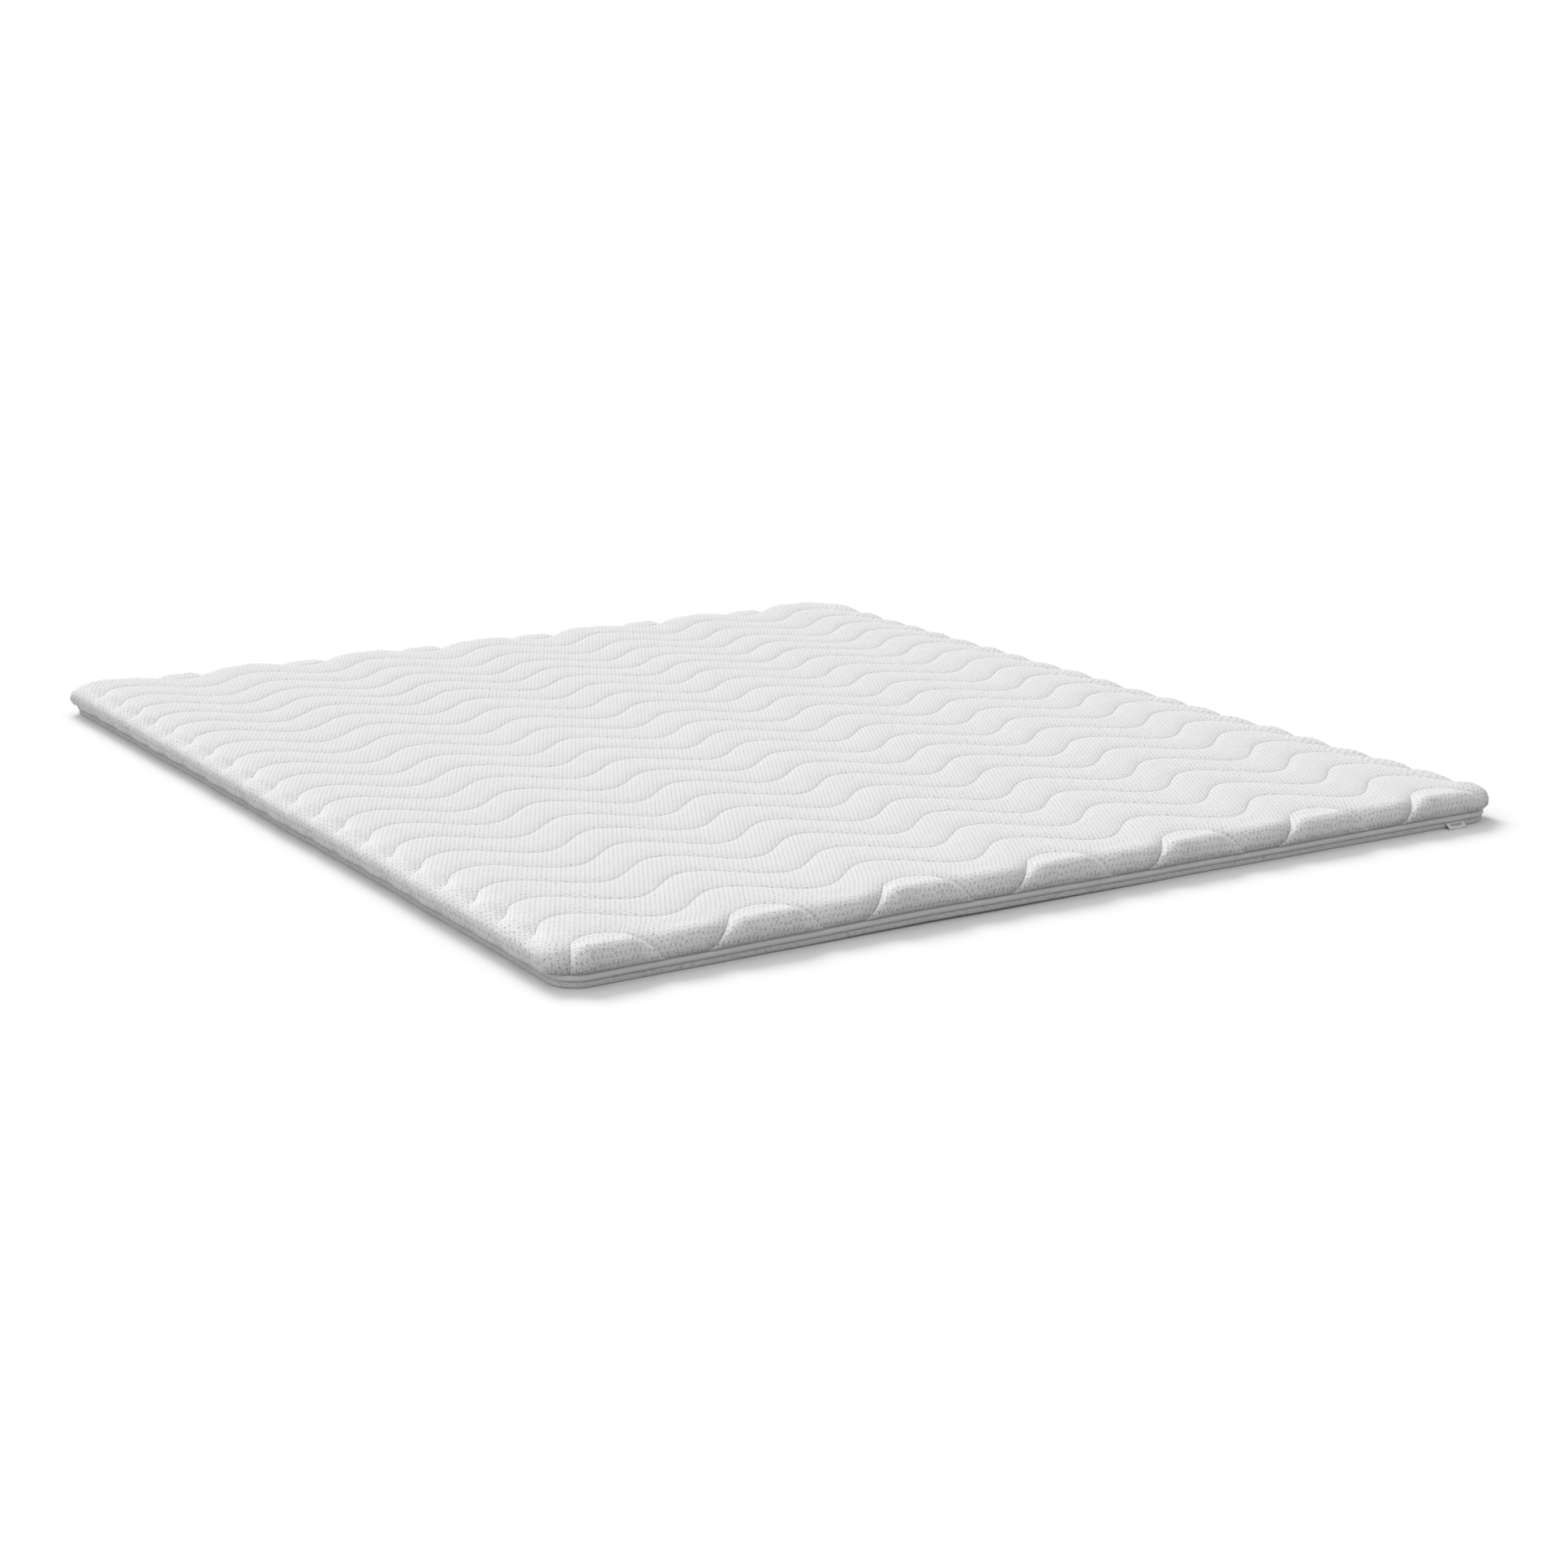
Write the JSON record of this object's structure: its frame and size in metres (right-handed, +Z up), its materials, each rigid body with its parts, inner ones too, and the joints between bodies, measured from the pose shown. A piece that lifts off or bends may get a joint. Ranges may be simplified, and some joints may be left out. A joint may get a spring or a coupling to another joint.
{
  "type": "quilted mattress topper",
  "caption": "Thin rectangular padded topper with wave quilting and rounded rims, a smooth tape round its edge and a flat knitted underside, for laying on a mattress.",
  "frame": {"origin": "middle of the underside, on the surface the topper lies on", "axes": "+X across the bed, +Y along it, +Z up through the thickness; the side label is on the -Y side near +X"},
  "size_m": [1.5996, 1.8995, 0.052],
  "materials": {
    "top_knit": "white quilted double knit with fine ribs and small dimples, matt",
    "tape_weave": "smooth white woven tape with a soft sheen",
    "cover_knit": "off-white knit, slightly mottled, matt",
    "label_weave": "plain white woven tab"
  },
  "bodies": {
    "root": {"quilted_top": "top_knit", "edge_tape": "tape_weave", "lower_cover": "cover_knit", "side_label": "label_weave"}
  },
  "joints": []
}
